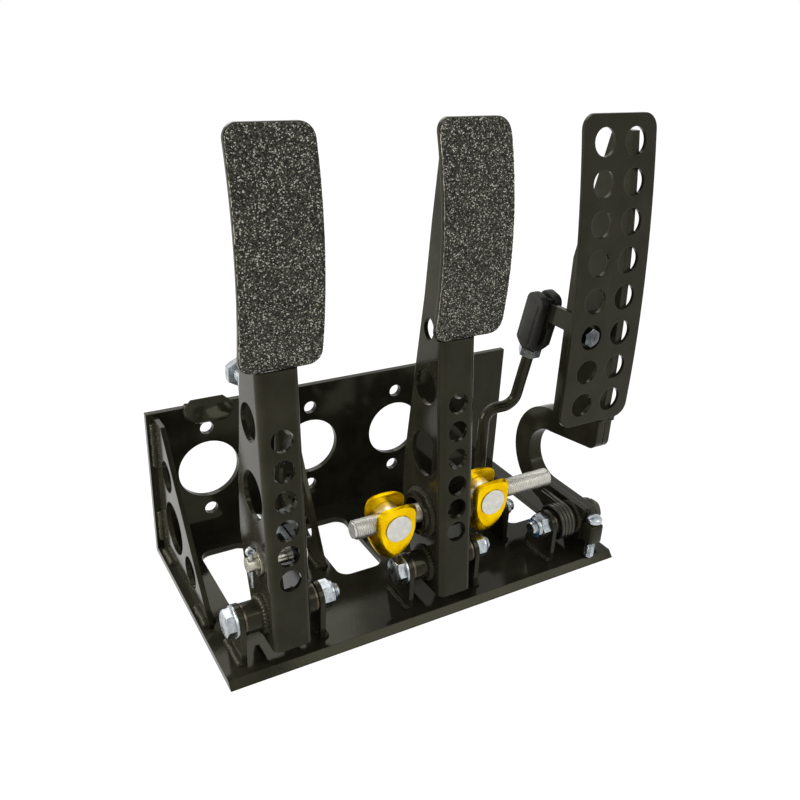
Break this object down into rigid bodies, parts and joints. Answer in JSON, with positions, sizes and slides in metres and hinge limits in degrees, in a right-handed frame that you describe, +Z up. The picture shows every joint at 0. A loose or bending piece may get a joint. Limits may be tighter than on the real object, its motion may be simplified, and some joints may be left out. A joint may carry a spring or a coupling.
{
  "type": "pedal box",
  "caption": "Floor pedal box with clutch, brake and perforated throttle pedals on a base with a bulkhead, a brake balance bar with clevises and a throttle link.",
  "frame": {"origin": "centre of the base plate's underside", "axes": "+X to the throttle side, +Y towards the bulkhead, +Z up"},
  "size_m": [0.259, 0.1393, 0.275],
  "materials": {
    "black_coat": "gloss black powder coat",
    "zinc": "bright zinc plate",
    "yellow_zinc": "yellowish zinc plate",
    "bronze": "sintered bronze",
    "bare_steel": "turned bare steel",
    "gold_anodised": "satin gold anodised",
    "grip_grit": "coarse sparkling anti-slip grit",
    "spring_steel": "black oiled spring wire",
    "fork_plastic": "dark moulded plastic"
  },
  "bodies": {
    "frame": {"base_plate": "black_coat", "bulkhead_plate": "black_coat", "left_gusset": "black_coat", "middle_gusset": "black_coat", "stop_tab": "black_coat", "clutch_ears": "black_coat", "brake_ears": "black_coat", "throttle_ears": "black_coat", "link_ears": "black_coat", "clutch_pivot_bolt": "zinc", "clutch_pivot_nut": "zinc", "brake_pivot_bolt": "zinc", "brake_pivot_nut": "zinc", "throttle_pivot_bolt": "zinc", "throttle_pivot_nut": "zinc", "link_pivot_bolt": "zinc", "link_pivot_nut": "zinc", "throttle_spring": "spring_steel"},
    "clutch": {"clutch_arm": "black_coat", "clutch_pivot_tube": "black_coat", "clutch_bushes": "bronze", "clutch_pad": "black_coat", "clutch_grip": "grip_grit", "clutch_stop_bolt": "zinc", "clutch_stop_bridge": "black_coat", "clutch_pin": "yellow_zinc", "clutch_split_pin": "zinc"},
    "clutch_fork": {"clutch_clevis": "zinc"},
    "brake": {"brake_arm": "black_coat", "brake_pivot_tube": "black_coat", "brake_bushes": "bronze", "brake_pad": "black_coat", "brake_grip": "grip_grit", "bias_tube": "black_coat", "bearing_cup": "bare_steel"},
    "bar": {"balance_bar": "bare_steel", "bearing_ball": "bare_steel"},
    "trunnion_left": {"left_trunnion": "bare_steel"},
    "clevis_left": {"left_clevis": "gold_anodised"},
    "trunnion_right": {"right_trunnion": "bare_steel"},
    "clevis_right": {"right_clevis": "gold_anodised"},
    "throttle": {"throttle_arm": "black_coat", "throttle_web": "black_coat", "throttle_pivot_tube": "black_coat", "throttle_bushes": "bronze", "throttle_pad": "black_coat", "throttle_stop_lug": "black_coat", "throttle_stop_bolt": "zinc", "link_tab": "black_coat", "link_tab_bolt": "zinc"},
    "link": {"link_rod": "black_coat", "link_boss": "black_coat", "link_fork": "fork_plastic", "link_nut": "zinc", "link_pin": "zinc"}
  },
  "joints": [
    {"name": "clutch_press", "type": "hinge", "parent": "frame", "child": "clutch", "pos_m": [-0.0955, -0.0492, 0.0266], "axis": [-1, 0, 0], "range_deg": [0, 38]},
    {"name": "clutch_fork_swing", "type": "hinge", "parent": "clutch", "child": "clutch_fork", "pos_m": [-0.0935, -0.0485, 0.059], "axis": [-1, 0, 0], "range_deg": [-38, 10]},
    {"name": "brake_press", "type": "hinge", "parent": "frame", "child": "brake", "pos_m": [0.00525, -0.0492, 0.0266], "axis": [-1, 0, 0], "range_deg": [0, 18]},
    {"name": "bar_tilt", "type": "hinge", "parent": "brake", "child": "bar", "pos_m": [0.00725, -0.043, 0.058], "axis": [0, 0, 1], "range_deg": [-7, 7]},
    {"name": "trunnion_left_turn", "type": "hinge", "parent": "bar", "child": "trunnion_left", "pos_m": [-0.0245, -0.043, 0.058], "axis": [1, 0, 0], "range_deg": [0, 90]},
    {"name": "clevis_left_swivel", "type": "hinge", "parent": "trunnion_left", "child": "clevis_left", "pos_m": [-0.0245, -0.043, 0.058], "axis": [0, 1, 0], "range_deg": [-7, 7]},
    {"name": "trunnion_right_turn", "type": "hinge", "parent": "bar", "child": "trunnion_right", "pos_m": [0.039, -0.043, 0.058], "axis": [1, 0, 0], "range_deg": [0, 90]},
    {"name": "clevis_right_swivel", "type": "hinge", "parent": "trunnion_right", "child": "clevis_right", "pos_m": [0.039, -0.043, 0.058], "axis": [0, 1, 0], "range_deg": [-7, 7]},
    {"name": "throttle_press", "type": "hinge", "parent": "frame", "child": "throttle", "pos_m": [0.1025, -0.0492, 0.0266], "axis": [-1, 0, 0], "range_deg": [0, 14], "stiffness_Nm_per_rad": 1.2, "springref_deg": -34.38},
    {"name": "link_swing", "type": "hinge", "parent": "frame", "child": "link", "pos_m": [0.0595, -0.017, 0.024], "axis": [-1, 0, 0], "range_deg": [0, 14]}
  ],
  "couplings": [
    {"joint": "link_swing", "follows": "throttle_press", "ratio": 0.957}
  ]
}
